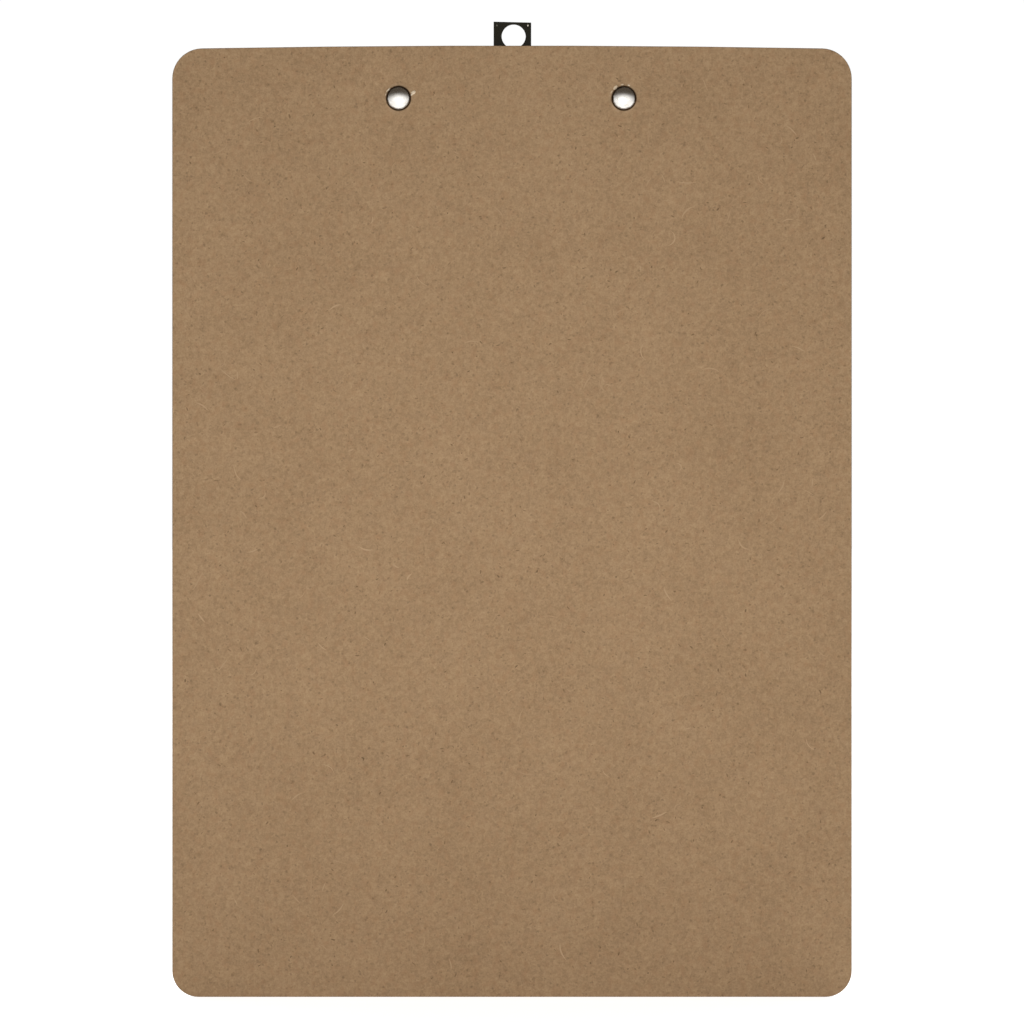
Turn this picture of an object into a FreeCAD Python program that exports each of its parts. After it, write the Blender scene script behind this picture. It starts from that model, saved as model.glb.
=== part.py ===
"""A4 hardboard clipboard with a low-profile spring clip and a pull-out hanging tab.

Row frame, in millimetres: the board hangs upright. +Z runs up its length, +X across its
width, the clip faces -Y and the bare back faces +Y. The origin is on the board's centre
line, at the height of the hanging hole's centre, half-way through the hanging strip.

Every piece is first drawn in the section frame: x is the distance down from the middle of
the board's top edge, y is the height above its front face, and z runs to the row's -X.
"""

import os
import math

import FreeCAD
import Part

from FreeCAD import Vector

# Board
BOARD_WIDTH = 225.0
BOARD_LENGTH = 315.0
BOARD_THICKNESS = 3.0
TOP_EDGE_CROWN = 1.1
TOP_CORNER_RADIUS = 10.0
BOTTOM_CORNER_RADIUS = 8.7
BOARD_EDGE_ROUND = 0.35

# Rivets, with domed heads on the board's back and rolled ends on the base plate
RIVET_PITCH = 74.6
RIVET_DOWN = 17.5
RIVET_SHANK_RADIUS = 2.0
RIVET_HOLE_RADIUS = 2.05
RIVET_HEAD_RADIUS = 4.08
RIVET_EDGE_RADIUS = 0.85
RIVET_DOME_SLOPE = 20.0
RIVET_ROLL_RADIUS = 3.1
RIVET_ROLL_HEIGHT = 0.7
RIVET_BORE_RADIUS = 1.2
RIVET_BORE_DEPTH = 3.0

# The clip sits a little off the board's centre line
CLIP_ACROSS = 0.25

# Hanging strip, which slides in the base plate's channel
STRIP_WIDTH = 12.5
STRIP_THICKNESS = 0.9
STRIP_LIFT = 0.1
STRIP_ACROSS = -0.13
STRIP_TRAVEL = 7.5
HOLE_RADIUS = 4.0
HOLE_ABOVE_EDGE = 3.8
HOLE_ACROSS = -0.55
TAB_TOP_LEFT = 4.55
TAB_TOP_RIGHT = 4.85
STRIP_SHOULDER_DOWN = 18.5
STRIP_END_DOWN = 21.0
LUG_WIDTH = 5.0
LUG_HEIGHT = 3.3
LUG_BEND_RADIUS = 0.75
PIP_RADIUS = 0.6
PIP_DEPTH = 0.18
PIP_FROM_SIDE = 1.1
PIP_FROM_TOP = 1.15
STRIP_EDGE_ROUND = 0.12

# Both pressed sheets have their edges tumbled smooth
SHEET_EDGE_ROUND = 0.2

# Base plate, which holds the rod, the springs and the hanging strip
BASE_SHEET = 1.0
BASE_TOP_DOWN = 2.5
BASE_FRONT_DOWN = 30.0
BASE_HALF_WIDTH = 58.0
BASE_CORNER_RADIUS = 4.0
CHANNEL_INSIDE = 13.4
CHANNEL_HEIGHT = 1.1
CHANNEL_SHOULDER_RADIUS = 0.7
SLOT_PLAY = 0.3
SLOT_SIDE_PLAY = 0.25
EAR_BOSS_RADIUS = 3.1
EAR_FOOT_HALF = 6.5
STOP_WIDTH = 7.0
STOP_HEIGHT = 2.4
STOP_ACROSS = 28.0

# Hinge rod
ROD_DOWN = 17.0
ROD_HEIGHT = 5.8
ROD_RADIUS = 1.5
ROD_HOLE_RADIUS = 1.55
ROD_HEAD_RADIUS = 2.3
ROD_HEAD_THICKNESS = 0.8
ROD_END_PLAY = 0.2

# Jaw
JAW_SHEET = 0.8
JAW_HALF_WIDTH = 59.2
JAW_TOP_HEIGHT = 9.7
LIP_TIP = (41.3, 0.95)
LIP_SHOULDER = (42.5, 7.1)
FRONT_BREAK = (27.5, JAW_TOP_HEIGHT)
LEVER_BREAK = (18.0, JAW_TOP_HEIGHT)
LEVER_EDGE = (3.3, 13.9)
LEVER_CURL = (2.2, 12.0)
LIP_SHOULDER_RADIUS = 3.2
FRONT_BREAK_RADIUS = 26.0
LEVER_BREAK_RADIUS = 8.0
LEVER_EDGE_RADIUS = 1.3
LEVER_HALF_WIDTH = 37.0
LEVER_CORNER_RADIUS = 6.0
LEVER_STEP_DOWN = 12.2
LEVER_STEP_RADIUS = 5.0
SHOULDER_CORNER_RADIUS = 1.2
CHEEK_FRONT_DOWN = 34.0
CHEEK_BOTTOM_HEIGHT = 2.2
CHEEK_BOSS_RADIUS = 3.6
CHEEK_CORNER_RADIUS = 3.0
BEAD_DOWN = 23.0
BEAD_HALF_LENGTH = 42.0
BEAD_RADIUS = 3.2
BEAD_RISE = 0.7
BEAD_FOOT_RADIUS = 1.0

# Torsion springs on the rod, one each side of the channel
SPRING_WIRE_RADIUS = 0.65
SPRING_COIL_RADIUS = 2.35
SPRING_PITCH = 1.4
SPRING_FULL_TURNS = 7
SPRING_INNER_END = 12.0
SPRING_LEG_LENGTH = 9.0
SPRING_BASE_LEG_SLOPE = 10.9
SPRING_LEVER_LEG_SLOPE = 19.4

# Rubber grips on the jaw's front corners
GRIP_LENGTH = 15.0
GRIP_WALL = 0.9
GRIP_END_WALL = 0.7
GRIP_REACH = 6.5
GRIP_TIP_WALL = 0.6
GRIP_PLAY = 0.03
GRIP_ROUND = 0.4

# Where the section frame sits in the row frame
FRONT_FACE_Y = STRIP_LIFT + STRIP_THICKNESS / 2
TOP_EDGE_Z = -HOLE_ABOVE_EDGE

# Tools reach this far past the metal they cut, and points this close are the same
SPARE = 5.0
NEAR = 0.01

# Lines whose directions' dot product is above this are parallel
PARALLEL = 0.999


def place(shape, across=0.0):
    """Turn a shape from the section frame into the row frame, moved across by +X."""
    matrix = FreeCAD.Matrix(
        0, 0, -1, across,
        0, -1, 0, FRONT_FACE_Y,
        -1, 0, 0, TOP_EDGE_Z,
        0, 0, 0, 1,
    )
    return shape.transformed(matrix, copy=True)


def rounded_path(points, radii):
    """Edges of the open line through points, with an arc of the given radius at each bend."""
    edges = []
    start = Vector(*points[0], 0)
    for index in range(1, len(points) - 1):
        corner = Vector(*points[index], 0)
        back = (Vector(*points[index - 1], 0) - corner).normalize()
        ahead = (Vector(*points[index + 1], 0) - corner).normalize()
        half = back.getAngle(ahead) / 2
        radius = radii[index - 1]
        reach = radius / math.tan(half)
        middle = (back + ahead).normalize()
        centre = corner + middle * (radius / math.sin(half))
        first = corner + back * reach
        last = corner + ahead * reach
        edges.append(Part.LineSegment(start, first).toShape())
        edges.append(Part.Arc(first, centre - middle * radius, last).toShape())
        start = last
    edges.append(Part.LineSegment(start, Vector(*points[-1], 0)).toShape())
    return edges


def offset_path(points, radii, offset):
    """The line through points moved offset to its left, with the radii that keep it parallel."""
    places = [Vector(*p, 0) for p in points]
    lefts = []
    for a, b in zip(places, places[1:]):
        ahead = (b - a).normalize()
        lefts.append(Vector(-ahead.y, ahead.x, 0))
    moved = [places[0] + lefts[0] * offset]
    moved_radii = []
    for index in range(1, len(places) - 1):
        before = lefts[index - 1]
        after = lefts[index]
        mitre = (before + after) * (offset / (1 + before.dot(after)))
        moved.append(places[index] + mitre)
        turn = before.cross(after).z
        moved_radii.append(radii[index - 1] - math.copysign(offset, turn))
    moved.append(places[-1] + lefts[-1] * offset)
    return [(p.x, p.y) for p in moved], moved_radii


def bent_sheet(points, radii, thickness, half_width):
    """A sheet bent along the line through points, centred on z = 0."""
    left = rounded_path(*offset_path(points, radii, thickness / 2))
    right = rounded_path(*offset_path(points, radii, -thickness / 2))
    caps = []
    for index in (0, -1):
        a = left[index].Vertexes[index].Point
        b = right[index].Vertexes[index].Point
        caps.append(Part.LineSegment(a, b).toShape())
    wire = Part.Wire(Part.__sortEdges__(left + right + caps))
    return slab(wire, -half_width, half_width)


def slab(wire, low, high):
    """A flat wire in the plane z = 0 as a solid from z = low to z = high."""
    solid = Part.Face(wire).extrude(Vector(0, 0, high - low))
    solid.translate(Vector(0, 0, low))
    return solid


def plate(down_from, down_to, height_from, height_to, half_width, across=0.0):
    """A box in the section frame, centred at z = across."""
    size = (down_to - down_from, height_to - height_from, 2 * half_width)
    return Part.makeBox(*size, Vector(down_from, height_from, across - half_width))


def rod_between(low, high, radius):
    """A cylinder on the hinge axis."""
    centre = Vector(ROD_DOWN, ROD_HEIGHT, low)
    return Part.makeCylinder(radius, high - low, centre, Vector(0, 0, 1))


def rivet_hole(side):
    """A cutter for one rivet's hole through the board and the base plate."""
    start = Vector(RIVET_DOWN, -BOARD_THICKNESS - SPARE, side * RIVET_PITCH / 2)
    return Part.makeCylinder(RIVET_HOLE_RADIUS, BOARD_THICKNESS + 2 * SPARE, start, Vector(0, 1, 0))


def edges_along(solid, direction, choose):
    """The straight edges that run along direction and that choose accepts by their middle."""
    found = []
    for edge in solid.Edges:
        if not isinstance(edge.Curve, Part.Line):
            continue
        if abs(edge.tangentAt(edge.FirstParameter).dot(direction)) < PARALLEL:
            continue
        if choose(edge.CenterOfMass):
            found.append(edge)
    return found


def make_board():
    half = BOARD_WIDTH / 2
    left_top = Vector(TOP_EDGE_CROWN, 0, -half)
    right_top = Vector(TOP_EDGE_CROWN, 0, half)
    left_bottom = Vector(BOARD_LENGTH, 0, -half)
    right_bottom = Vector(BOARD_LENGTH, 0, half)
    outline = Part.Wire([
        Part.Arc(left_top, Vector(0, 0, 0), right_top).toShape(),
        Part.LineSegment(right_top, right_bottom).toShape(),
        Part.LineSegment(right_bottom, left_bottom).toShape(),
        Part.LineSegment(left_bottom, left_top).toShape(),
    ])
    board = Part.Face(outline).extrude(Vector(0, -BOARD_THICKNESS, 0))
    through = Vector(0, 1, 0)
    middle = BOARD_LENGTH / 2
    board = board.makeFillet(TOP_CORNER_RADIUS, edges_along(board, through, lambda p: p.x < middle))
    bottom = edges_along(board, through, lambda p: p.x > BOARD_LENGTH - NEAR)
    board = board.makeFillet(BOTTOM_CORNER_RADIUS, bottom)
    rims = [e for e in board.Edges if min(-e.CenterOfMass.y, e.CenterOfMass.y + BOARD_THICKNESS) < NEAR]
    board = board.makeFillet(BOARD_EDGE_ROUND, rims)
    for side in (-1, 1):
        hole = rivet_hole(side)
        hole.translate(Vector(0, 0, -CLIP_ACROSS))
        board = board.cut(hole)
    return place(board)


def make_base_plate():
    sheet = plate(BASE_TOP_DOWN, BASE_FRONT_DOWN, 0, BASE_SHEET, BASE_HALF_WIDTH)
    front = edges_along(sheet, Vector(0, 1, 0), lambda p: p.x > BASE_FRONT_DOWN - NEAR)
    sheet = sheet.makeFillet(BASE_CORNER_RADIUS, front)
    roof = CHANNEL_HEIGHT + BASE_SHEET
    channel_half = CHANNEL_INSIDE / 2
    hat = plate(BASE_TOP_DOWN, BASE_FRONT_DOWN, 0, roof, channel_half + BASE_SHEET)
    shoulders = edges_along(hat, Vector(1, 0, 0), lambda p: p.y > roof - NEAR)
    hat = hat.makeFillet(CHANNEL_SHOULDER_RADIUS, shoulders)
    base = sheet.fuse(hat)
    for side in (-1, 1):
        base = base.fuse(ear(side))
        base = base.fuse(paper_stop(side))
    base = base.removeSplitter()
    base = base.makeFillet(SHEET_EDGE_ROUND, base.Edges)
    base = base.cut(plate(-SPARE, BASE_FRONT_DOWN + SPARE, -SPARE, CHANNEL_HEIGHT, channel_half))
    base = base.cut(lug_slot())
    for side in (-1, 1):
        base = base.cut(rivet_hole(side))
    base = base.cut(rod_between(-BASE_HALF_WIDTH - SPARE, BASE_HALF_WIDTH + SPARE, ROD_HOLE_RADIUS))
    return place(base.removeSplitter(), CLIP_ACROSS)


def ear(side):
    """One turned-up ear of the base plate, with a round head about the rod."""
    foot_left = Vector(ROD_DOWN - EAR_FOOT_HALF, 0, 0)
    foot_right = Vector(ROD_DOWN + EAR_FOOT_HALF, 0, 0)
    lean = math.atan2(ROD_HEIGHT, EAR_FOOT_HALF) + math.asin(
        EAR_BOSS_RADIUS / math.hypot(ROD_HEIGHT, EAR_FOOT_HALF)
    )
    rise = Vector(math.sin(lean), math.cos(lean), 0) * EAR_BOSS_RADIUS
    centre = Vector(ROD_DOWN, ROD_HEIGHT, 0)
    right_touch = centre + rise
    left_touch = centre + Vector(-rise.x, rise.y, 0)
    wire = Part.Wire([
        Part.LineSegment(foot_left, foot_right).toShape(),
        Part.LineSegment(foot_right, right_touch).toShape(),
        Part.Arc(right_touch, centre + Vector(0, EAR_BOSS_RADIUS, 0), left_touch).toShape(),
        Part.LineSegment(left_touch, foot_left).toShape(),
    ])
    inside = BASE_HALF_WIDTH - BASE_SHEET
    low, high = sorted((side * inside, side * BASE_HALF_WIDTH))
    return slab(wire, low, high)


def paper_stop(side):
    """A small turned-up tab at the base plate's front edge, which squares the paper up."""
    stop = plate(
        BASE_FRONT_DOWN - BASE_SHEET, BASE_FRONT_DOWN, 0, STOP_HEIGHT, STOP_WIDTH / 2, side * STOP_ACROSS
    )
    tops = edges_along(stop, Vector(1, 0, 0), lambda p: p.y > STOP_HEIGHT - NEAR)
    return stop.makeFillet(BASE_SHEET, tops)


def lug_slot():
    """A cutter for the slot that the strip's lug rides in, which ends the strip's travel."""
    top = STRIP_END_DOWN - STRIP_THICKNESS - SLOT_PLAY
    bottom = STRIP_END_DOWN + STRIP_TRAVEL + SLOT_PLAY
    half = (CHANNEL_INSIDE - STRIP_WIDTH) / 2 + LUG_WIDTH / 2 + SLOT_SIDE_PLAY
    slot = plate(top, bottom, 0, CHANNEL_HEIGHT + BASE_SHEET + SPARE, half)
    return slot.makeFillet(SLOT_SIDE_PLAY * 2, edges_along(slot, Vector(0, 1, 0), lambda p: True))


def make_hanger():
    middle = STRIP_LIFT + STRIP_THICKNESS / 2
    half = STRIP_WIDTH / 2
    left_top = -HOLE_ABOVE_EDGE - TAB_TOP_LEFT
    right_top = -HOLE_ABOVE_EDGE - TAB_TOP_RIGHT
    outline = Part.makePolygon([
        Vector(left_top, STRIP_LIFT, half),
        Vector(right_top, STRIP_LIFT, -half),
        Vector(STRIP_SHOULDER_DOWN, STRIP_LIFT, -half),
        Vector(STRIP_SHOULDER_DOWN, STRIP_LIFT, half),
        Vector(left_top, STRIP_LIFT, half),
    ])
    strip = Part.Face(outline).extrude(Vector(0, STRIP_THICKNESS, 0))
    lug_path = [
        (STRIP_SHOULDER_DOWN - LUG_WIDTH, middle),
        (STRIP_END_DOWN - STRIP_THICKNESS / 2, middle),
        (STRIP_END_DOWN - STRIP_THICKNESS / 2, LUG_HEIGHT),
    ]
    lug = bent_sheet(lug_path, [LUG_BEND_RADIUS], STRIP_THICKNESS, LUG_WIDTH / 2)
    hanger = strip.fuse(lug)
    offset = STRIP_ACROSS - HOLE_ACROSS
    hole_start = Vector(-HOLE_ABOVE_EDGE, -SPARE, offset)
    hanger = hanger.cut(Part.makeCylinder(HOLE_RADIUS, 2 * SPARE, hole_start, Vector(0, 1, 0)))
    hanger = hanger.removeSplitter()
    hanger = hanger.makeFillet(STRIP_EDGE_ROUND, hanger.Edges)
    for side, top in ((1, left_top), (-1, right_top)):
        across = side * (half - PIP_FROM_SIDE)
        centre = Vector(top + PIP_FROM_TOP, STRIP_LIFT - PIP_RADIUS + PIP_DEPTH, across)
        hanger = hanger.cut(Part.makeSphere(PIP_RADIUS, centre))
    return place(hanger.removeSplitter(), STRIP_ACROSS)


def make_rivet(side):
    """A tubular rivet: a body drawn as half a section and turned, with a spherical cap for its dome."""
    back = -BOARD_THICKNESS
    slope = math.radians(RIVET_DOME_SLOPE)
    edge_centre = RIVET_HEAD_RADIUS - RIVET_EDGE_RADIUS
    join = edge_centre + RIVET_EDGE_RADIUS * math.sin(slope)
    join_height = back - RIVET_EDGE_RADIUS * math.cos(slope)
    sphere = join / math.sin(slope)
    dome_centre = join_height + sphere * math.cos(slope)
    edge_slope = (slope + math.pi / 2) / 2
    roll = BASE_SHEET + RIVET_ROLL_HEIGHT
    roll_middle = (RIVET_ROLL_RADIUS + RIVET_BORE_RADIUS) / 2
    floor = roll - RIVET_BORE_DEPTH
    points = {
        "cap_middle": Vector(0, join_height, 0),
        "join": Vector(join, join_height, 0),
        "edge": Vector(
            edge_centre + RIVET_EDGE_RADIUS * math.sin(edge_slope),
            back - RIVET_EDGE_RADIUS * math.cos(edge_slope),
            0,
        ),
        "seat": Vector(RIVET_HEAD_RADIUS, back, 0),
        "neck": Vector(RIVET_SHANK_RADIUS, back, 0),
        "exit": Vector(RIVET_SHANK_RADIUS, BASE_SHEET, 0),
        "roll_foot": Vector(RIVET_ROLL_RADIUS, BASE_SHEET, 0),
        "roll_top": Vector(roll_middle, roll, 0),
        "mouth": Vector(RIVET_BORE_RADIUS, BASE_SHEET, 0),
        "bore_floor": Vector(RIVET_BORE_RADIUS, floor, 0),
        "centre": Vector(0, floor, 0),
    }
    wire = Part.Wire([
        Part.LineSegment(points["cap_middle"], points["join"]).toShape(),
        Part.Arc(points["join"], points["edge"], points["seat"]).toShape(),
        Part.LineSegment(points["seat"], points["neck"]).toShape(),
        Part.LineSegment(points["neck"], points["exit"]).toShape(),
        Part.LineSegment(points["exit"], points["roll_foot"]).toShape(),
        Part.Arc(points["roll_foot"], points["roll_top"], points["mouth"]).toShape(),
        Part.LineSegment(points["mouth"], points["bore_floor"]).toShape(),
        Part.LineSegment(points["bore_floor"], points["centre"]).toShape(),
        Part.LineSegment(points["centre"], points["cap_middle"]).toShape(),
    ])
    body = Part.Face(wire).revolve(Vector(0, 0, 0), Vector(0, 1, 0), 360)
    cap = Part.makeSphere(sphere, Vector(0, dome_centre, 0)).common(
        plate(-join - SPARE, join + SPARE, join_height - SPARE, join_height, join + SPARE)
    )
    rivet = body.fuse(cap).removeSplitter()
    rivet.translate(Vector(RIVET_DOWN, 0, -side * RIVET_PITCH / 2))
    return place(rivet, CLIP_ACROSS)


def make_hinge_rod():
    reach = JAW_HALF_WIDTH + ROD_END_PLAY
    rod = rod_between(-reach, reach, ROD_RADIUS)
    for low in (-reach - ROD_HEAD_THICKNESS, reach):
        head = rod_between(low, low + ROD_HEAD_THICKNESS, ROD_HEAD_RADIUS)
        outer = [e for e in head.Edges if abs(e.CenterOfMass.z) > reach + ROD_HEAD_THICKNESS - NEAR]
        rod = rod.fuse(head.makeFillet(ROD_HEAD_THICKNESS / 2, outer))
    return place(rod.removeSplitter(), CLIP_ACROSS)


def jaw_path():
    """The middle of the jaw's sheet, from the lip's tip over the rod to the thumb edge."""
    points = [LIP_TIP, LIP_SHOULDER, FRONT_BREAK, LEVER_BREAK, LEVER_EDGE, LEVER_CURL]
    radii = [LIP_SHOULDER_RADIUS, FRONT_BREAK_RADIUS, LEVER_BREAK_RADIUS, LEVER_EDGE_RADIUS]
    return points, radii


def cheek(side):
    """One side wall of the jaw, with the rod's hole in its rear corner."""
    rear = ROD_DOWN - CHEEK_BOSS_RADIUS
    front = CHEEK_FRONT_DOWN
    low = CHEEK_BOTTOM_HEIGHT
    roof = JAW_TOP_HEIGHT
    fall = (FRONT_BREAK[1] - LIP_SHOULDER[1]) / (LIP_SHOULDER[0] - FRONT_BREAK[0])
    front_roof = JAW_TOP_HEIGHT - (CHEEK_FRONT_DOWN - FRONT_BREAK[0]) * fall
    corner = CHEEK_CORNER_RADIUS
    eighth_turn = math.radians(45)
    boss_side = CHEEK_BOSS_RADIUS * math.cos(eighth_turn)
    diagonal = corner * (1 - math.cos(eighth_turn))
    wire = Part.Wire([
        Part.LineSegment(Vector(rear, roof, 0), Vector(rear, ROD_HEIGHT, 0)).toShape(),
        Part.Arc(
            Vector(rear, ROD_HEIGHT, 0),
            Vector(ROD_DOWN - boss_side, ROD_HEIGHT - boss_side, 0),
            Vector(ROD_DOWN, low, 0),
        ).toShape(),
        Part.LineSegment(Vector(ROD_DOWN, low, 0), Vector(front - corner, low, 0)).toShape(),
        Part.Arc(
            Vector(front - corner, low, 0),
            Vector(front - diagonal, low + diagonal, 0),
            Vector(front, low + corner, 0),
        ).toShape(),
        Part.LineSegment(Vector(front, low + corner, 0), Vector(front, front_roof, 0)).toShape(),
        Part.LineSegment(Vector(front, front_roof, 0), Vector(FRONT_BREAK[0], roof, 0)).toShape(),
        Part.LineSegment(Vector(FRONT_BREAK[0], roof, 0), Vector(rear, roof, 0)).toShape(),
    ])
    inside = JAW_HALF_WIDTH - JAW_SHEET
    low_z, high_z = sorted((side * inside, side * JAW_HALF_WIDTH))
    return slab(wire, low_z, high_z)


def jaw_outline():
    """The jaw seen square on: a wide front and, behind the side walls, a narrower thumb lever."""
    sheet_edge = LEVER_CURL[0] - JAW_SHEET / 2
    high = LEVER_EDGE[1] + SPARE
    front = plate(LEVER_STEP_DOWN, LIP_SHOULDER[0] + SPARE, 0, high, JAW_HALF_WIDTH)
    lever = plate(sheet_edge, LEVER_STEP_DOWN + SPARE, 0, high, LEVER_HALF_WIDTH)
    outline = front.fuse(lever).removeSplitter()
    upright = Vector(0, 1, 0)
    inner = edges_along(
        outline,
        upright,
        lambda p: abs(p.x - LEVER_STEP_DOWN) < NEAR and abs(p.z) < LEVER_HALF_WIDTH + NEAR,
    )
    outline = outline.makeFillet(LEVER_STEP_RADIUS, inner)
    corners = edges_along(outline, upright, lambda p: p.x < sheet_edge + NEAR)
    outline = outline.makeFillet(LEVER_CORNER_RADIUS, corners)
    shoulders = edges_along(
        outline,
        upright,
        lambda p: abs(p.x - LEVER_STEP_DOWN) < NEAR and abs(p.z) > JAW_HALF_WIDTH - NEAR,
    )
    return outline.makeFillet(SHOULDER_CORNER_RADIUS, shoulders)


def bead(radius):
    """A long rounded bar along the jaw's top, for the stiffening bead."""
    height = JAW_TOP_HEIGHT + JAW_SHEET / 2 + BEAD_RISE - BEAD_RADIUS
    start = Vector(BEAD_DOWN, height, -BEAD_HALF_LENGTH)
    bar = Part.makeCylinder(radius, 2 * BEAD_HALF_LENGTH, start, Vector(0, 0, 1))
    for end in (-1, 1):
        bar = bar.fuse(Part.makeSphere(radius, Vector(BEAD_DOWN, height, end * BEAD_HALF_LENGTH)))
    return bar


def is_bead_foot(edge):
    """True for the edges where the bead rises from the top of the jaw."""
    top = JAW_TOP_HEIGHT + JAW_SHEET / 2
    reach = BEAD_HALF_LENGTH + BEAD_RADIUS
    if abs(edge.CenterOfMass.y - top) > NEAR:
        return False
    return edge.BoundBox.ZMax < reach and edge.BoundBox.ZMin > -reach


def make_jaw():
    points, radii = jaw_path()
    jaw = bent_sheet(points, radii, JAW_SHEET, JAW_HALF_WIDTH).common(jaw_outline())
    for side in (-1, 1):
        jaw = jaw.fuse(cheek(side))
    jaw = jaw.removeSplitter()
    jaw = jaw.makeFillet(SHEET_EDGE_ROUND, jaw.Edges)
    above = JAW_TOP_HEIGHT - JAW_SHEET / 2
    ridge = bead(BEAD_RADIUS).common(
        plate(BEAD_DOWN - SPARE, BEAD_DOWN + SPARE, above, above + SPARE, JAW_HALF_WIDTH)
    )
    jaw = jaw.fuse(ridge)
    foot = [e for e in jaw.Edges if is_bead_foot(e)]
    jaw = jaw.makeFillet(BEAD_FOOT_RADIUS, foot)
    jaw = jaw.cut(bead(BEAD_RADIUS - JAW_SHEET))
    jaw = jaw.cut(rod_between(-JAW_HALF_WIDTH - SPARE, JAW_HALF_WIDTH + SPARE, ROD_HOLE_RADIUS))
    return place(jaw.removeSplitter(), CLIP_ACROSS)


def grip_path(past_tip, past_shoulder):
    """The lip's line from a little past its tip, round the shoulder and back along the jaw."""
    tip = Vector(*LIP_TIP, 0)
    shoulder = Vector(*LIP_SHOULDER, 0)
    back = Vector(*FRONT_BREAK, 0)
    start = tip + (tip - shoulder).normalize() * past_tip
    end = shoulder + (back - shoulder).normalize() * past_shoulder
    return [(start.x, start.y), LIP_SHOULDER, (end.x, end.y)]


def make_grip(side):
    """A rubber cap over one front corner of the jaw, from under the lip round its shoulder."""
    half = (GRIP_LENGTH + GRIP_END_WALL) / 2
    cap_path = grip_path(GRIP_TIP_WALL, GRIP_REACH)
    cap = bent_sheet(cap_path, [LIP_SHOULDER_RADIUS], JAW_SHEET + 2 * GRIP_WALL, half)
    cap = cap.makeFillet(GRIP_ROUND, cap.Edges)
    cap.translate(Vector(0, 0, -side * (JAW_HALF_WIDTH + GRIP_END_WALL - half)))
    slot_path = grip_path(GRIP_PLAY, GRIP_REACH + SPARE)
    slot_half = JAW_HALF_WIDTH + GRIP_PLAY
    slot = bent_sheet(slot_path, [LIP_SHOULDER_RADIUS], JAW_SHEET + 2 * GRIP_PLAY, slot_half)
    return place(cap.cut(slot), CLIP_ACROSS)


def make_spring(side):
    """A torsion spring: a coil about the rod with one leg on the base and one under the lever."""
    base_slope = math.radians(SPRING_BASE_LEG_SLOPE)
    lever_slope = math.radians(SPRING_LEVER_LEG_SLOPE)
    start = math.radians(270) + base_slope
    sweep = 2 * math.pi * SPRING_FULL_TURNS - (start - (math.pi / 2 - lever_slope))
    length = SPRING_PITCH * sweep / (2 * math.pi)
    helix = Part.makeHelix(SPRING_PITCH, length, SPRING_COIL_RADIUS)
    first, last = coil_end(helix, 0.0), coil_end(helix, length)
    ring = Part.Wire(Part.makeCircle(SPRING_WIRE_RADIUS, *first))
    coil = Part.Wire(helix).makePipeShell([ring], True, True)
    base_leg = Part.makeCylinder(SPRING_WIRE_RADIUS, SPRING_LEG_LENGTH, first[0], -first[1])
    lever_leg = Part.makeCylinder(SPRING_WIRE_RADIUS, SPRING_LEG_LENGTH, last[0], last[1])
    spring = coil.fuse([base_leg, lever_leg]).removeSplitter()
    spring.rotate(Vector(0, 0, 0), Vector(0, 0, 1), math.degrees(start))
    spring.translate(Vector(ROD_DOWN, ROD_HEIGHT, SPRING_INNER_END))
    if side > 0:
        spring = spring.mirror(Vector(0, 0, 0), Vector(0, 0, 1))
    return place(spring, CLIP_ACROSS)


def coil_end(helix, height):
    """The point at this height on the coil's wire, and the way the wire runs there."""
    edge = min(helix.Edges, key=lambda e: e.distToShape(Part.Vertex(coil_point(height)))[0])
    point = coil_point(height)
    tangent = edge.tangentAt(edge.Curve.parameter(point))
    return point, tangent


def coil_point(height):
    angle = 2 * math.pi * height / SPRING_PITCH
    return Vector(
        SPRING_COIL_RADIUS * math.cos(angle),
        SPRING_COIL_RADIUS * math.sin(angle),
        height,
    )


def main():
    os.makedirs("parts", exist_ok=True)
    pieces = {
        "board": make_board(),
        "base_plate": make_base_plate(),
        "hanger": make_hanger(),
        "hinge_rod": make_hinge_rod(),
        "jaw": make_jaw(),
    }
    for name, side in (("left", -1), ("right", 1)):
        pieces["rivet_" + name] = make_rivet(side)
        pieces["spring_" + name] = make_spring(side)
        pieces["grip_" + name] = make_grip(side)
    for name, shape in pieces.items():
        shape.exportStep(f"parts/{name}.step")
        box = shape.BoundBox
        print(f"{name}: valid {shape.isValid()}, solids {len(shape.Solids)}, volume {shape.Volume:.1f} mm3")
        print(f"    x {box.XMin:.2f} to {box.XMax:.2f}, y {box.YMin:.2f} to {box.YMax:.2f},", end=" ")
        print(f"z {box.ZMin:.2f} to {box.ZMax:.2f}")


main()
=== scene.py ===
import math
import random

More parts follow.
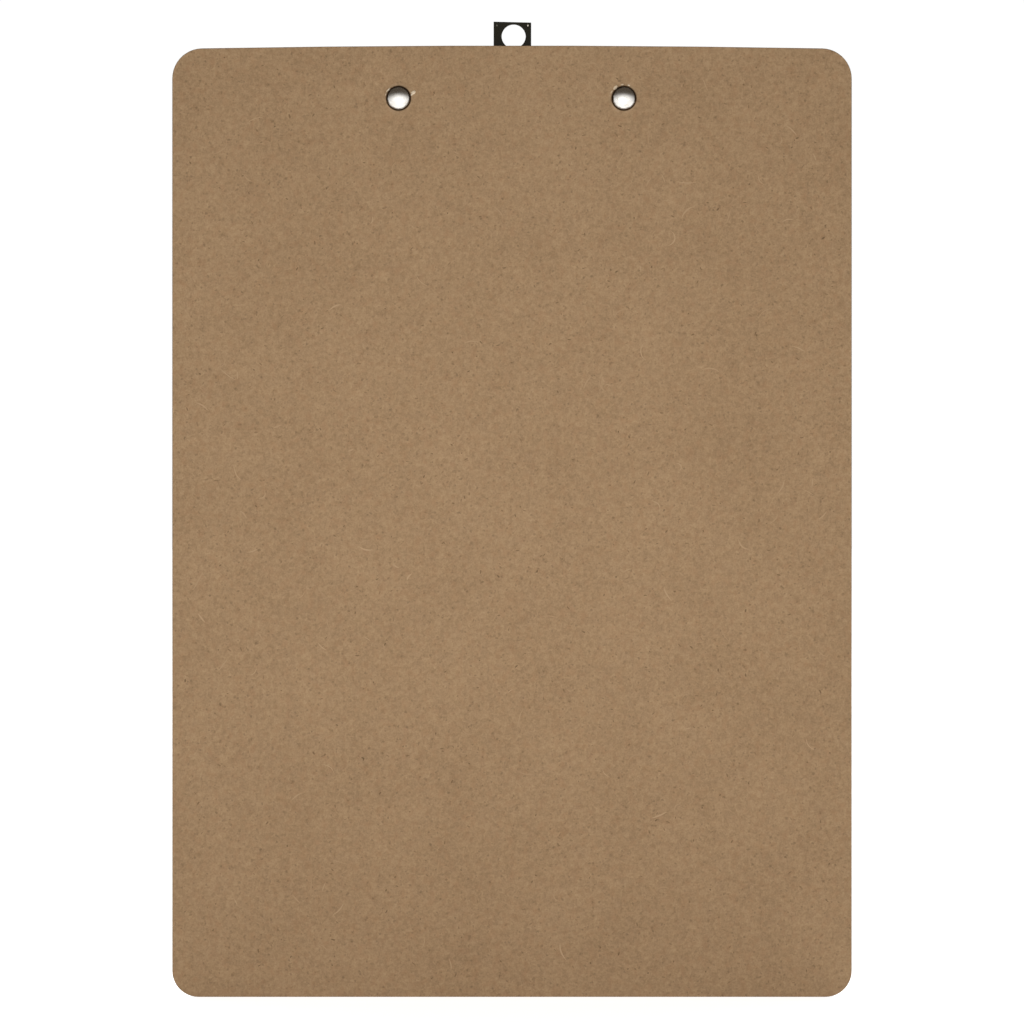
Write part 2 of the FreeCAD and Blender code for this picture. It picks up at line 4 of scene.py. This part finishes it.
import bmesh
import bpy
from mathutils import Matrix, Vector

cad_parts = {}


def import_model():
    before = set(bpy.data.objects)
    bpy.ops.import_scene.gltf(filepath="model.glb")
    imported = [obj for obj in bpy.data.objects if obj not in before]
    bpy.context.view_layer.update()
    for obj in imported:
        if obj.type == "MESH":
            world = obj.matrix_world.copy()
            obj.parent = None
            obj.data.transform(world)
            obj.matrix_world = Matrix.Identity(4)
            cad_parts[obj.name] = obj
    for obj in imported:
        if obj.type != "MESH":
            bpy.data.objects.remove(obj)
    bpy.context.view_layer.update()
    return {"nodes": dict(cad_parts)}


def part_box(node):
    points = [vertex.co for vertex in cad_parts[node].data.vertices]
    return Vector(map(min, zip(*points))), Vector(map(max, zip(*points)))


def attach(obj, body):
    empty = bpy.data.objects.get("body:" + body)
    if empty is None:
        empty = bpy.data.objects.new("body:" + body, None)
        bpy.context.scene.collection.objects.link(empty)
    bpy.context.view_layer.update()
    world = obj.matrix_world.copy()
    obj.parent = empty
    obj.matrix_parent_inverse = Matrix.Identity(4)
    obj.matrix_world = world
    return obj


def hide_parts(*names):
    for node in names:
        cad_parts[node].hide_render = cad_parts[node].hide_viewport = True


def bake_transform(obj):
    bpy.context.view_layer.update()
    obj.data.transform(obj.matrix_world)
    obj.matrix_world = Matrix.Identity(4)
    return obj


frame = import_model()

NODES = frame["nodes"]
MM = 0.001

# Places taken from the frame
BOARD_LOW, BOARD_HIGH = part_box("board")
PLATE_LOW, PLATE_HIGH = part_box("base_plate")
HANGER_LOW, HANGER_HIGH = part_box("hanger")
RIVETS = [(low + high) / 2 for low, high in (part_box("rivet_left"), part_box("rivet_right"))]
RIVET_RADIUS = (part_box("rivet_left")[1].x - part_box("rivet_left")[0].x) / 2

# Camera: square on to the back. The sensor is in millimetres, as Blender has it
CAMERA_DISTANCE = 0.650
CAMERA_BELOW_TOP = 0.1544
VIEW_WIDTH = 0.3389
SENSOR_WIDTH = 36.0
MIDDLE = Vector((0.0, 0.0, BOARD_HIGH.z - CAMERA_BELOW_TOP))

# Hardboard: how much of its tone each size of grain carries, from fine to broad
FINE_SHARE = 0.3
GRAIN_SHARE = 0.46
MOTTLE_SHARE = 0.14
CLOUD_SHARE = 0.1

# Dark specks: cells per metre, a speck's size in cells, share of cells with one, strength
SPECKS = ((520.0, 0.3, 0.7, 0.34), (300.0, 0.2, 0.7, 0.4))

# Crushed fibre round the rivets, and painted shade in the crease at each head
HALO_WIDTH = 1.5 * MM
CREASE_WIDTH = 0.3 * MM

# Hanger: the punched pips near its upper corners, which carry painted glints
PIP_INSET = 1.1 * MM
PIP_DROP = 1.3 * MM
PIP_RADIUS = 0.36 * MM
PIP_FLAT = 0.2 * MM

# Loose fibre on both faces. Bends are in radians
FIBRE_SEED = 11
CURLS = 130
CURL_LENGTHS = (2.0 * MM, 7.0 * MM)
CURL_WIDTHS = (0.22 * MM, 0.55 * MM)
CURL_BEND = 1.1
CURL_WANDER = 0.06
CURL_TIP = 0.06  # share of the taper cut off at each tip
CURL_STEPS = 12
CURL_MARGIN = 9.0 * MM
CURL_LIFT = 0.02 * MM
SLIVERS = 800
SLIVER_LENGTHS = (0.5 * MM, 1.6 * MM)
SLIVER_WIDTHS = (0.25 * MM, 0.6 * MM)
SLIVER_REACH = (0.7, 1.1)
SLIVER_CORNERS = 7
SLIVER_MARGIN = 4.0 * MM
SLIVER_LIFT = 0.01 * MM
RIVET_CLEARANCE = 2.5 * MM

# Torn fibre beside the rivets: which rivet, across and up from its axis, length, width, turn (mm, degrees)
TORN = (
    (1, -4.8, 1.9, 1.9, 1.3, 146.0),
    (1, -4.35, 1.15, 0.9, 0.6, 110.0),
    (1, 3.35, 2.85, 2.2, 0.6, 132.0),
    (1, 4.2, 1.4, 1.2, 0.4, 105.0),
    (0, 2.9, 3.5, 2.2, 1.1, 138.0),
    (0, 4.05, 2.1, 1.4, 0.6, 118.0),
    (0, 0.6, 4.5, 1.3, 0.5, 172.0),
    (0, -1.6, 4.3, 0.9, 0.4, 20.0),
)
TORN_SEED = 5
TORN_CORNERS = 14
TORN_REACH = (0.75, 1.1)
TORN_LIFTS = (0.1 * MM, 0.3 * MM)
TORN_SINK = 0.02 * MM
TORN_CREST = 0.55  # how far out the raised corners stand, as a share of the low ones

# Studio: the floor's and room's brightness to the camera, and the size of the soft patch behind the board
FLOOR_RADIUS = 8.0
FLOOR_GAP = 0.2 * MM
FLOOR_NEAR = 0.9
FLOOR_FAR = 1.05
PATCH_WIDTH = 0.95
PATCH_HEIGHT = 0.52
ROOM_WHITE = 1.02


def colour(red, green, blue):
    """A linear colour from 0 to 255 display values."""
    def linear(level):
        level = level / 255
        return level / 12.92 if level <= 0.04045 else ((level + 0.055) / 1.055) ** 2.4
    return (linear(red), linear(green), linear(blue), 1.0)


def grey(level):
    """A neutral linear colour."""
    return (level, level, level, 1.0)


FACE_DARK = colour(124, 97, 67)
FACE_PALE = colour(178, 148, 113)
FACE_RED = colour(150, 113, 80)
SPECK_BROWN = colour(84, 62, 42)
HALO_PALE = colour(186, 158, 126)
# Painted shade for the crease round the rivet heads
CREASE_SHADE_BROWN = colour(62, 44, 28)
# The board's edge: its own darker tone with painted shade on the rounded edge
EDGE_SHADE_DARK = colour(70, 52, 36)
EDGE_SHADE_PALE = colour(122, 96, 70)
NICKEL = colour(206, 200, 190)
RIVET_NICKEL = colour(238, 234, 228)
SMUDGE_FILM = colour(176, 168, 152)
# Painted shade and reflection for the rivets' steep rims
RIM_SHADE_AND_REFLECTION = colour(74, 60, 44)
# Painted glint colour for the hanger's pips
PIP_GLINT_STEEL = colour(190, 184, 170)

# ---------------------------------------------------------------- node helpers


def new_material(name, **constants):
    """A material with its Principled shader's own sockets set to constants."""
    material = bpy.data.materials.new(name)
    material.use_nodes = True
    shader = material.node_tree.nodes["Principled BSDF"]
    for socket, value in constants.items():
        shader.inputs[socket.replace("_", " ")].default_value = value
    return material, material.node_tree, shader


def feed(tree, target, value):
    """Links a socket to an input, or sets the input to any other value."""
    if isinstance(value, bpy.types.NodeSocket):
        tree.links.new(value, target)
    else:
        target.default_value = value


def node(tree, kind, inputs=None, **settings):
    """A node of the given kind, with its settings and inputs."""
    made = tree.nodes.new(kind)
    for name, value in settings.items():
        setattr(made, name, value)
    for name, value in (inputs or {}).items():
        feed(tree, made.inputs[name], value)
    return made


def math_node(tree, operation, a, b=0.0):
    return node(tree, "ShaderNodeMath", {0: a, 1: b}, operation=operation).outputs[0]


def times(tree, a, b):
    return math_node(tree, "MULTIPLY", a, b)


def plus(tree, a, b):
    return math_node(tree, "ADD", a, b)


def scaled(tree, vector, scale):
    """A vector times a vector, part by part."""
    return node(tree, "ShaderNodeVectorMath", {0: vector, 1: scale}, operation="MULTIPLY").outputs[0]


def length(tree, vector):
    return node(tree, "ShaderNodeVectorMath", {0: vector}, operation="LENGTH").outputs["Value"]


def part_of(tree, vector, axis):
    """A vector's X, Y or Z."""
    return node(tree, "ShaderNodeSeparateXYZ", {"Vector": vector}).outputs[axis]


def object_place(tree):
    """A point's place from its object's origin, in metres."""
    return node(tree, "ShaderNodeTexCoord").outputs["Object"]


def noise(tree, vector, scale, detail=2.0, roughness=0.5, distortion=0.0):
    """Fractal noise with scale cells per unit of the vector."""
    values = {
        "Vector": vector,
        "Scale": scale,
        "Detail": detail,
        "Roughness": roughness,
        "Distortion": distortion,
    }
    return node(tree, "ShaderNodeTexNoise", values)


def remap(tree, value, low, high, to_low=0.0, to_high=1.0, smooth=False):
    """Takes low to to_low and high to to_high, straight or smoothly, and holds what lies beyond them."""
    values = {"Value": value, "From Min": low, "From Max": high, "To Min": to_low, "To Max": to_high}
    kind = "SMOOTHSTEP" if smooth else "LINEAR"
    made = node(tree, "ShaderNodeMapRange", values, interpolation_type=kind)
    made.clamp = True
    return made.outputs["Result"]


def mix_colour(tree, factor, a, b):
    """Colour a at factor 0, and b at 1."""
    made = node(tree, "ShaderNodeMix", data_type="RGBA")
    for index, value in ((0, factor), (6, a), (7, b)):
        feed(tree, made.inputs[index], value)
    return made.outputs[2]


def bump(tree, height, distance, strength=1.0, normal=None):
    """A normal bent by a height from 0 to 1, where 1 stands distance metres high."""
    values = {"Height": height, "Distance": distance, "Strength": strength}
    if normal is not None:
        values["Normal"] = normal
    return node(tree, "ShaderNodeBump", values).outputs["Normal"]


# ---------------------------------------------------------------- materials


def from_axis(tree, place, centre):
    """Distance from an axis that runs along Y through centre."""
    flat = {0: place, 1: (centre.x, 0.0, centre.z)}
    moved = node(tree, "ShaderNodeVectorMath", flat, operation="SUBTRACT").outputs[0]
    return length(tree, scaled(tree, moved, (1.0, 0.0, 1.0)))


def specked(tree, face, place):
    """The face with small dark specks: one in each of some cells, bent out of round."""
    warp = scaled(tree, noise(tree, place, 1100.0).outputs["Color"], (0.0013, 0.0013, 0.0013))
    bent = node(tree, "ShaderNodeVectorMath", {0: warp, 1: place}, operation="ADD").outputs[0]
    for scale, size, share, strength in SPECKS:
        cells = node(tree, "ShaderNodeTexVoronoi", {"Vector": bent, "Scale": scale, "Randomness": 1.0})
        chosen = node(tree, "ShaderNodeSeparateColor", {"Color": cells.outputs["Color"]}).outputs
        spot_size = remap(tree, chosen["Green"], 0.0, 1.0, size * 0.45, size)
        reach = math_node(tree, "DIVIDE", cells.outputs["Distance"], spot_size)
        spot = times(tree, remap(tree, reach, 1.3, 0.5), math_node(tree, "LESS_THAN", chosen["Red"], share))
        face = mix_colour(tree, times(tree, spot, strength), face, SPECK_BROWN)
    return face


def crushed_halo_and_crease_shade(tree, face, place, mottle):
    """The face with painted shade in the crease round each rivet's head on the back, and a paler rim
    outside it.
    """
    back = remap(tree, part_of(tree, place, "Y"), 0.0, BOARD_HIGH.y)
    crease_edge = RIVET_RADIUS + CREASE_WIDTH
    for rivet in RIVETS:
        away = from_axis(tree, place, rivet)
        halo = remap(tree, away, RIVET_RADIUS + HALO_WIDTH, crease_edge, smooth=True)
        halo = times(tree, halo, remap(tree, mottle, 0.42, 0.62))
        face = mix_colour(tree, times(tree, halo, 0.45), face, HALO_PALE)
        # Painted shade: the crease at the head's edge is darkened, on the back face only
        crease_shade = remap(tree, away, crease_edge, RIVET_RADIUS, smooth=True)
        crease_shade = times(tree, crease_shade, times(tree, back, 0.85))
        face = mix_colour(tree, crease_shade, face, CREASE_SHADE_BROWN)
    return face


def hardboard():
    """Raw fibreboard: fine mottled grain with small dark specks, and a streaked cut edge painted darker,
    partly its own tone and partly painted shade on its rounded edge.
    """
    material, tree, shader = new_material("hardboard", Roughness=0.8, Specular_IOR_Level=0.25)
    coords = node(tree, "ShaderNodeTexCoord")
    place = coords.outputs["Object"]

    clouds = noise(tree, place, 34.0, detail=3.0, roughness=0.55).outputs["Fac"]
    mottle = noise(tree, place, 240.0, distortion=0.4).outputs["Fac"]
    grain = noise(tree, place, 760.0, detail=3.0, roughness=0.6, distortion=0.5).outputs["Fac"]
    fine = noise(tree, place, 1700.0, roughness=0.6).outputs["Fac"]
    tone = times(tree, remap(tree, grain, 0.25, 0.75), GRAIN_SHARE)
    tone = plus(tree, tone, times(tree, remap(tree, fine, 0.25, 0.75), FINE_SHARE))
    tone = plus(tree, tone, times(tree, remap(tree, mottle, 0.3, 0.7), MOTTLE_SHARE))
    tone = plus(tree, tone, times(tree, remap(tree, clouds, 0.3, 0.7), CLOUD_SHARE))
    face = mix_colour(tree, tone, FACE_DARK, FACE_PALE)
    warm = noise(tree, place, 420.0).outputs["Color"]
    warm = node(tree, "ShaderNodeSeparateColor", {"Color": warm}).outputs["Green"]
    face = mix_colour(tree, remap(tree, warm, 0.5, 0.75, 0.0, 0.35), face, FACE_RED)
    face = specked(tree, face, place)
    face = crushed_halo_and_crease_shade(tree, face, place, mottle)

    # The cut edge is streaked along its length and painted darker: partly the edge's own tone, partly
    # painted shade on the rounded edge
    facing = math_node(tree, "ABSOLUTE", part_of(tree, coords.outputs["Normal"], "Y"))
    edge = remap(tree, facing, 0.97, 0.6, smooth=True)
    long_place = scaled(tree, place, (260.0, 5200.0, 260.0))
    streaks = noise(tree, long_place, 1.0, detail=4.0, roughness=0.7).outputs["Fac"]
    whole = mix_colour(tree, edge, face, mix_colour(tree, streaks, EDGE_SHADE_DARK, EDGE_SHADE_PALE))
    tree.links.new(whole, shader.inputs["Base Color"])
    tree.links.new(remap(tree, mottle, 0.3, 0.7, 0.7, 0.88), shader.inputs["Roughness"])

    relief = plus(tree, grain, times(tree, fine, 0.6))
    relief = plus(tree, relief, times(tree, mottle, 0.8))
    relief = plus(tree, relief, times(tree, streaks, edge))
    tree.links.new(bump(tree, relief, 0.1 * MM, 0.6), shader.inputs["Normal"])
    return material


def fibre(name, dark, pale):
    """Loose wood fibre, each strand its own shade."""
    material, tree, shader = new_material(name, Roughness=0.75, Specular_IOR_Level=0.2)
    strand = node(tree, "ShaderNodeNewGeometry").outputs["Random Per Island"]
    streak = noise(tree, object_place(tree), 2600.0).outputs["Fac"]
    tone = plus(tree, times(tree, strand, 0.8), times(tree, streak, 0.2))
    tree.links.new(mix_colour(tree, tone, dark, pale), shader.inputs["Base Color"])
    tree.links.new(bump(tree, streak, 0.04 * MM, 0.5), shader.inputs["Normal"])
    return material


def plated_metal(name, base, low_rough, high_rough, smudge_scale, ripple_height):
    """Bright plated steel with faint smudges, polishing marks and a slight ripple."""
    material, tree, shader = new_material(name, Metallic=1.0, Base_Color=base)
    place = object_place(tree)
    smudge = noise(tree, place, smudge_scale, detail=5.0, roughness=0.6).outputs["Fac"]
    polish_place = scaled(tree, place, (40.0, 900.0, 2600.0))
    scratch = noise(tree, polish_place, 1.0, detail=3.0, roughness=0.7).outputs["Fac"]
    rough = remap(tree, smudge, 0.35, 0.7, low_rough, high_rough)
    tree.links.new(plus(tree, rough, times(tree, scratch, 0.05)), shader.inputs["Roughness"])
    ripple = noise(tree, place, 260.0, detail=1.0).outputs["Fac"]
    marks = bump(tree, scratch, 0.004 * MM, 0.6)
    tree.links.new(bump(tree, ripple, ripple_height, 1.0, marks), shader.inputs["Normal"])
    film = mix_colour(tree, remap(tree, smudge, 0.5, 0.75, 0.0, 0.5), base, SMUDGE_FILM)
    tree.links.new(film, shader.inputs["Base Color"])
    return material, tree, shader, film


def rivet_metal(name, centre):
    """Nickel rivet with painted shade and a painted reflection of the brown board in the steep rim of its
    head.
    """
    material, tree, shader, film = plated_metal(name, RIVET_NICKEL, 0.1, 0.2, 700.0, 0.03 * MM)
    place = object_place(tree)
    wobble = noise(tree, place, 900.0, detail=3.0, roughness=0.6).outputs["Fac"]
    wander = remap(tree, wobble, 0.3, 0.7, -0.12 * MM, 0.12 * MM)
    away = plus(tree, from_axis(tree, place, centre), wander)
    # Painted shade and reflection: the steep rim of the head is darkened to the board's brown
    rim_shade = remap(tree, away, RIVET_RADIUS * 0.77, RIVET_RADIUS * 0.93, smooth=True)
    tree.links.new(mix_colour(tree, rim_shade, film, RIM_SHADE_AND_REFLECTION), shader.inputs["Base Color"])
    return material


def drawn_wire(name, base):
    """Satin drawn wire with fine lines round the section."""
    material, tree, shader = new_material(name, Metallic=1.0, Base_Color=base, Anisotropic=0.4)
    line_place = scaled(tree, object_place(tree), (60.0, 3000.0, 3000.0))
    lines = noise(tree, line_place, 1.0, detail=3.0, roughness=0.7).outputs["Fac"]
    tree.links.new(remap(tree, lines, 0.3, 0.7, 0.22, 0.42), shader.inputs["Roughness"])
    tree.links.new(bump(tree, lines, 0.01 * MM, 0.7), shader.inputs["Normal"])
    return material


def black_finish():
    """Black-finished steel with a fine grain, a warm cast and a painted glint of bright metal in the two
    punched pips, full at the low-X pip and faint at the other.
    """
    material, tree, shader = new_material("black_finish", Specular_IOR_Level=0.12)
    place = object_place(tree)
    patch = noise(tree, place, 330.0, detail=4.0, roughness=0.6).outputs["Fac"]
    tone = mix_colour(tree, patch, colour(16, 13, 4), colour(34, 30, 13))
    pip_glint = 0.0
    # Painted glints: bright metal in each pip, full strength at low X and faint at high X
    for x, glint_strength in ((HANGER_LOW.x + PIP_INSET, 1.0), (HANGER_HIGH.x - PIP_INSET, 0.3)):
        away = from_axis(tree, place, Vector((x, 0.0, HANGER_HIGH.z - PIP_DROP)))
        pip = remap(tree, away, PIP_RADIUS, PIP_FLAT, 0.0, glint_strength)
        pip_glint = math_node(tree, "MAXIMUM", pip, pip_glint)
    tree.links.new(mix_colour(tree, pip_glint, tone, PIP_GLINT_STEEL), shader.inputs["Base Color"])
    tree.links.new(pip_glint, shader.inputs["Metallic"])
    grain = noise(tree, place, 4200.0).outputs["Fac"]
    tree.links.new(remap(tree, patch, 0.3, 0.7, 0.34, 0.5), shader.inputs["Roughness"])
    tree.links.new(bump(tree, grain, 0.02 * MM, 0.5), shader.inputs["Normal"])
    return material


def rubber():
    """Moulded black rubber with a fine matt grain and a dusty bloom."""
    material, tree, shader = new_material("grip_rubber", Specular_IOR_Level=0.35)
    place = object_place(tree)
    bloom = noise(tree, place, 240.0, detail=4.0, roughness=0.65).outputs["Fac"]
    tone = mix_colour(tree, bloom, colour(20, 20, 21), colour(46, 45, 44))
    tree.links.new(tone, shader.inputs["Base Color"])
    grain = node(tree, "ShaderNodeTexVoronoi", {"Vector": place, "Scale": 3600.0}).outputs["Distance"]
    tree.links.new(remap(tree, bloom, 0.3, 0.7, 0.55, 0.72), shader.inputs["Roughness"])
    tree.links.new(bump(tree, grain, 0.06 * MM, 0.5), shader.inputs["Normal"])
    return material


def dress(names, material):
    """Gives CAD nodes their material."""
    for name in names:
        NODES[name].data.materials.clear()
        NODES[name].data.materials.append(material)


dress(["board"], hardboard())
dress(["jaw", "base_plate"], plated_metal("nickel_plate", NICKEL, 0.12, 0.26, 60.0, 0.01 * MM)[0])
dress(["rivet_left"], rivet_metal("rivet_nickel_left", RIVETS[0]))
dress(["rivet_right"], rivet_metal("rivet_nickel_right", RIVETS[1]))
dress(["hinge_rod"], drawn_wire("rod_steel", colour(176, 175, 172)))
dress(["hanger"], black_finish())
dress(["grip_left", "grip_right"], rubber())

# ---------------------------------------------------------------- pieces


def new_object(name, data):
    """An object in the scene, with no parent."""
    made = bpy.data.objects.new(name, data)
    bpy.context.scene.collection.objects.link(made)
    return made


def new_mesh(name, form, material):
    """A mesh from a finished bmesh."""
    mesh = bpy.data.meshes.new(name)
    form.to_mesh(mesh)
    form.free()
    mesh.materials.append(material)
    return mesh


def board_piece(name, form, material):
    """A piece that rides on the board."""
    piece = new_object(name, new_mesh(name, form, material))
    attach(piece, "board")


def on_face(chance, side, margin):
    """A random place on the board's back (side 1) or front (side -1), clear of the rivets and the clip."""
    while True:
        x = chance.uniform(BOARD_LOW.x + margin, BOARD_HIGH.x - margin)
        z = chance.uniform(BOARD_LOW.z + margin, BOARD_HIGH.z - margin)
        to_rivet = min(math.hypot(x - rivet.x, z - rivet.z) for rivet in RIVETS)
        beside_plate = PLATE_LOW.x - margin < x < PLATE_HIGH.x + margin and z > PLATE_LOW.z - margin
        if to_rivet >= RIVET_RADIUS + RIVET_CLEARANCE and not (side < 0 and beside_plate):
            return x, z


def turned(across, up, turn):
    """A flat offset turned by an angle."""
    return (
        across * math.cos(turn) - up * math.sin(turn),
        across * math.sin(turn) + up * math.cos(turn),
    )


def flat_face(form, outline, side, lift):
    """One flat polygon just proud of the board's back or front, facing out."""
    y = BOARD_HIGH.y + lift if side > 0 else BOARD_LOW.y - lift
    corners = [form.verts.new((x, y, z)) for x, z in outline]
    face = form.faces.new(corners)
    face.normal_update()
    if face.normal.y * side < 0:
        face.normal_flip()


def curl(form, chance, side):
    """A thin curled fibre that lies on the board, tapered to both ends."""
    long = chance.uniform(*CURL_LENGTHS)
    wide = chance.uniform(*CURL_WIDTHS)
    x, z = on_face(chance, side, CURL_MARGIN)
    heading = chance.uniform(0.0, 2.0 * math.pi)
    bend = chance.gauss(0.0, CURL_BEND) / CURL_STEPS
    left, right = [], []
    for step in range(CURL_STEPS + 1):
        share = CURL_TIP + (1.0 - 2.0 * CURL_TIP) * step / CURL_STEPS
        half = wide / 2 * math.sin(math.pi * share)
        across, up = -math.sin(heading) * half, math.cos(heading) * half
        left.append((x + across, z + up))
        right.append((x - across, z - up))
        x += math.cos(heading) * long / CURL_STEPS
        z += math.sin(heading) * long / CURL_STEPS
        heading += bend + chance.gauss(0.0, CURL_WANDER)
    flat_face(form, left + right[::-1], side, CURL_LIFT)


def sliver(form, chance, side):
    """A dark sliver of bark pressed into the face."""
    long = chance.uniform(*SLIVER_LENGTHS)
    wide = chance.uniform(*SLIVER_WIDTHS)
    x, z = on_face(chance, side, SLIVER_MARGIN)
    turn = chance.uniform(0.0, math.pi)
    outline = []
    for corner in range(SLIVER_CORNERS):
        angle = 2.0 * math.pi * corner / SLIVER_CORNERS
        reach = chance.uniform(*SLIVER_REACH) / 2
        across, up = turned(long * math.cos(angle) * reach, wide * math.sin(angle) * reach, turn)
        outline.append((x + across, z + up))
    flat_face(form, outline, side, SLIVER_LIFT)


def splinter(form, chance, centre, long, wide, turn):
    """A torn sliver that stands a little proud beside a rivet."""
    corners = []
    for index in range(TORN_CORNERS):
        angle = 2.0 * math.pi * index / TORN_CORNERS
        reach = chance.uniform(*TORN_REACH) / 2
        across, up = turned(long * math.cos(angle) * reach, wide * math.sin(angle) * reach, turn)
        foot = index % 2 == 1
        lift = 0.0 if foot else chance.uniform(*TORN_LIFTS)
        squeeze = 1.0 if foot else TORN_CREST
        y = BOARD_HIGH.y - TORN_SINK + lift
        corners.append(form.verts.new((centre.x + across * squeeze, y, centre.z + up * squeeze)))
    bmesh.ops.convex_hull(form, input=corners)


def loose_fibres():
    """Curled fibres and bark slivers on both faces."""
    chance = random.Random(FIBRE_SEED)
    curls = bmesh.new()
    slivers = bmesh.new()
    for side in (1, -1):
        for _ in range(CURLS):
            curl(curls, chance, side)
        for _ in range(SLIVERS):
            sliver(slivers, chance, side)
    board_piece("curled_fibres", curls, fibre("curled_fibre", colour(156, 127, 95), colour(176, 147, 114)))
    board_piece("bark_slivers", slivers, fibre("bark_sliver", colour(106, 83, 59), colour(146, 116, 84)))


def torn_rims():
    """Torn fibre just outside each rivet's head."""
    chance = random.Random(TORN_SEED)
    form = bmesh.new()
    for which, across, up, long, wide, turn in TORN:
        centre = RIVETS[which] + Vector((across, 0.0, up)) * MM
        splinter(form, chance, centre, long * MM, wide * MM, math.radians(turn))
    board_piece("torn_fibres", form, fibre("torn_fibre", colour(200, 176, 144), colour(246, 234, 212)))


def twisting_springs():
    """Copies of the springs in satin spring steel, in place of the CAD springs."""
    material = drawn_wire("spring_steel", colour(150, 149, 148))
    for name, side in (("spring_left", -1), ("spring_right", 1)):
        mesh = NODES[name].data.copy()
        mesh.materials.clear()
        mesh.materials.append(material)
        piece = new_object(name + "_wire", mesh)
        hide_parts(name)
        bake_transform(piece)


loose_fibres()
torn_rims()
twisting_springs()

# ---------------------------------------------------------------- studio


def aimed(made, place, aim):
    """Puts a light or camera at a place, looking at aim."""
    made.location = place
    made.rotation_mode = "QUATERNION"
    made.rotation_quaternion = (Vector(aim) - Vector(place)).to_track_quat("-Z", "Y")
    return made


def area_light(name, place, aim, size, power):
    """A soft rectangular light."""
    data = bpy.data.lights.new(name, "AREA")
    data.shape = "RECTANGLE"
    data.size, data.size_y = size
    data.energy = power
    aimed(new_object(name, data), place, aim).visible_camera = False


def spot_light(name, place, aim, cone, power):
    """A soft spot whose light fades from its middle to its rim."""
    data = bpy.data.lights.new(name, "SPOT")
    data.spot_size = math.radians(cone)
    data.spot_blend = 1.0
    data.shadow_soft_size = 0.2
    data.energy = power
    aimed(new_object(name, data), place, aim).visible_camera = False


def camera_sees(tree):
    """1 where the camera looks straight at a thing, and 0 for the light it gives."""
    return node(tree, "ShaderNodeLightPath").outputs["Is Camera Ray"]


def floor():
    """A large pale disc just under the board. It lights less in front, so that the clip has shape."""
    constants = {"Roughness": 0.9, "Base_Color": grey(0.7), "Emission_Color": grey(1.0)}
    material, tree, shader = new_material("pale_floor", **constants)
    place = object_place(tree)
    lighting = remap(tree, part_of(tree, place, "Y"), -0.05, -0.6, 0.86, 0.1, smooth=True)
    looks = remap(tree, length(tree, place), 0.2, 1.5, FLOOR_NEAR, FLOOR_FAR, smooth=True)
    glow = math_node(tree, "MAXIMUM", lighting, times(tree, camera_sees(tree), looks))
    tree.links.new(glow, shader.inputs["Emission Strength"])

    form = bmesh.new()
    bmesh.ops.create_circle(form, cap_ends=True, segments=96, radius=FLOOR_RADIUS)
    disc = new_object("floor", new_mesh("floor", form, material))
    disc.location.z = BOARD_LOW.z - FLOOR_GAP


def world():
    """A white room to the camera. A soft patch of it lights the back, and a pale upper sky the clip."""
    made = bpy.data.worlds.new("studio")
    bpy.context.scene.world = made
    made.use_nodes = True
    tree = made.node_tree
    tree.nodes.clear()
    direction = node(tree, "ShaderNodeTexCoord").outputs["Generated"]
    away = length(tree, scaled(tree, direction, (PATCH_HEIGHT / PATCH_WIDTH, 0.0, 1.0)))
    patch = remap(tree, away, PATCH_HEIGHT * 0.3, PATCH_HEIGHT, smooth=True)
    behind = mix_colour(tree, patch, grey(1.3), (0.075, 0.06, 0.045, 1.0))
    rise = remap(tree, part_of(tree, direction, "Z"), -0.25, 0.75, smooth=True)
    ahead = mix_colour(tree, rise, grey(0.12), grey(0.6))
    front = remap(tree, part_of(tree, direction, "Y"), 0.0, -0.25, smooth=True)
    level = mix_colour(tree, front, behind, ahead)
    room = mix_colour(tree, camera_sees(tree), level, grey(ROOM_WHITE))
    background = node(tree, "ShaderNodeBackground", {"Color": room, "Strength": 1.0})
    output = tree.nodes.new("ShaderNodeOutputWorld")
    tree.links.new(background.outputs[0], output.inputs["Surface"])


def camera():
    """The camera, level and square on to the back."""
    data = bpy.data.cameras.new("camera")
    data.sensor_width = SENSOR_WIDTH
    data.lens = SENSOR_WIDTH * CAMERA_DISTANCE / VIEW_WIDTH
    data.clip_start = 0.01
    data.clip_end = 50.0
    place = (0.0, BOARD_HIGH.y + CAMERA_DISTANCE, MIDDLE.z)
    bpy.context.scene.camera = aimed(new_object("camera", data), place, MIDDLE)


floor()
world()
camera()
spot_light("back_key", (0.0, 1.4, -0.13), MIDDLE + Vector((0.018, 0.0, -0.018)), 25.0, 24.7)
area_light("front_key", (-0.8, -1.1, 1.2), MIDDLE, (0.9, 0.9), 16.0)
area_light("front_fill", (1.2, -0.9, 0.1), MIDDLE, (0.5, 1.4), 5.0)
area_light("overhead", (0.0, -0.5, 1.6), MIDDLE, (1.1, 0.8), 5.0)
for side in (-1, 1):
    area_light(f"side_fill_{side}", (side * 1.6, -0.45, 0.1), MIDDLE, (0.6, 0.9), 2.5)
bpy.context.scene.view_settings.view_transform = "Standard"
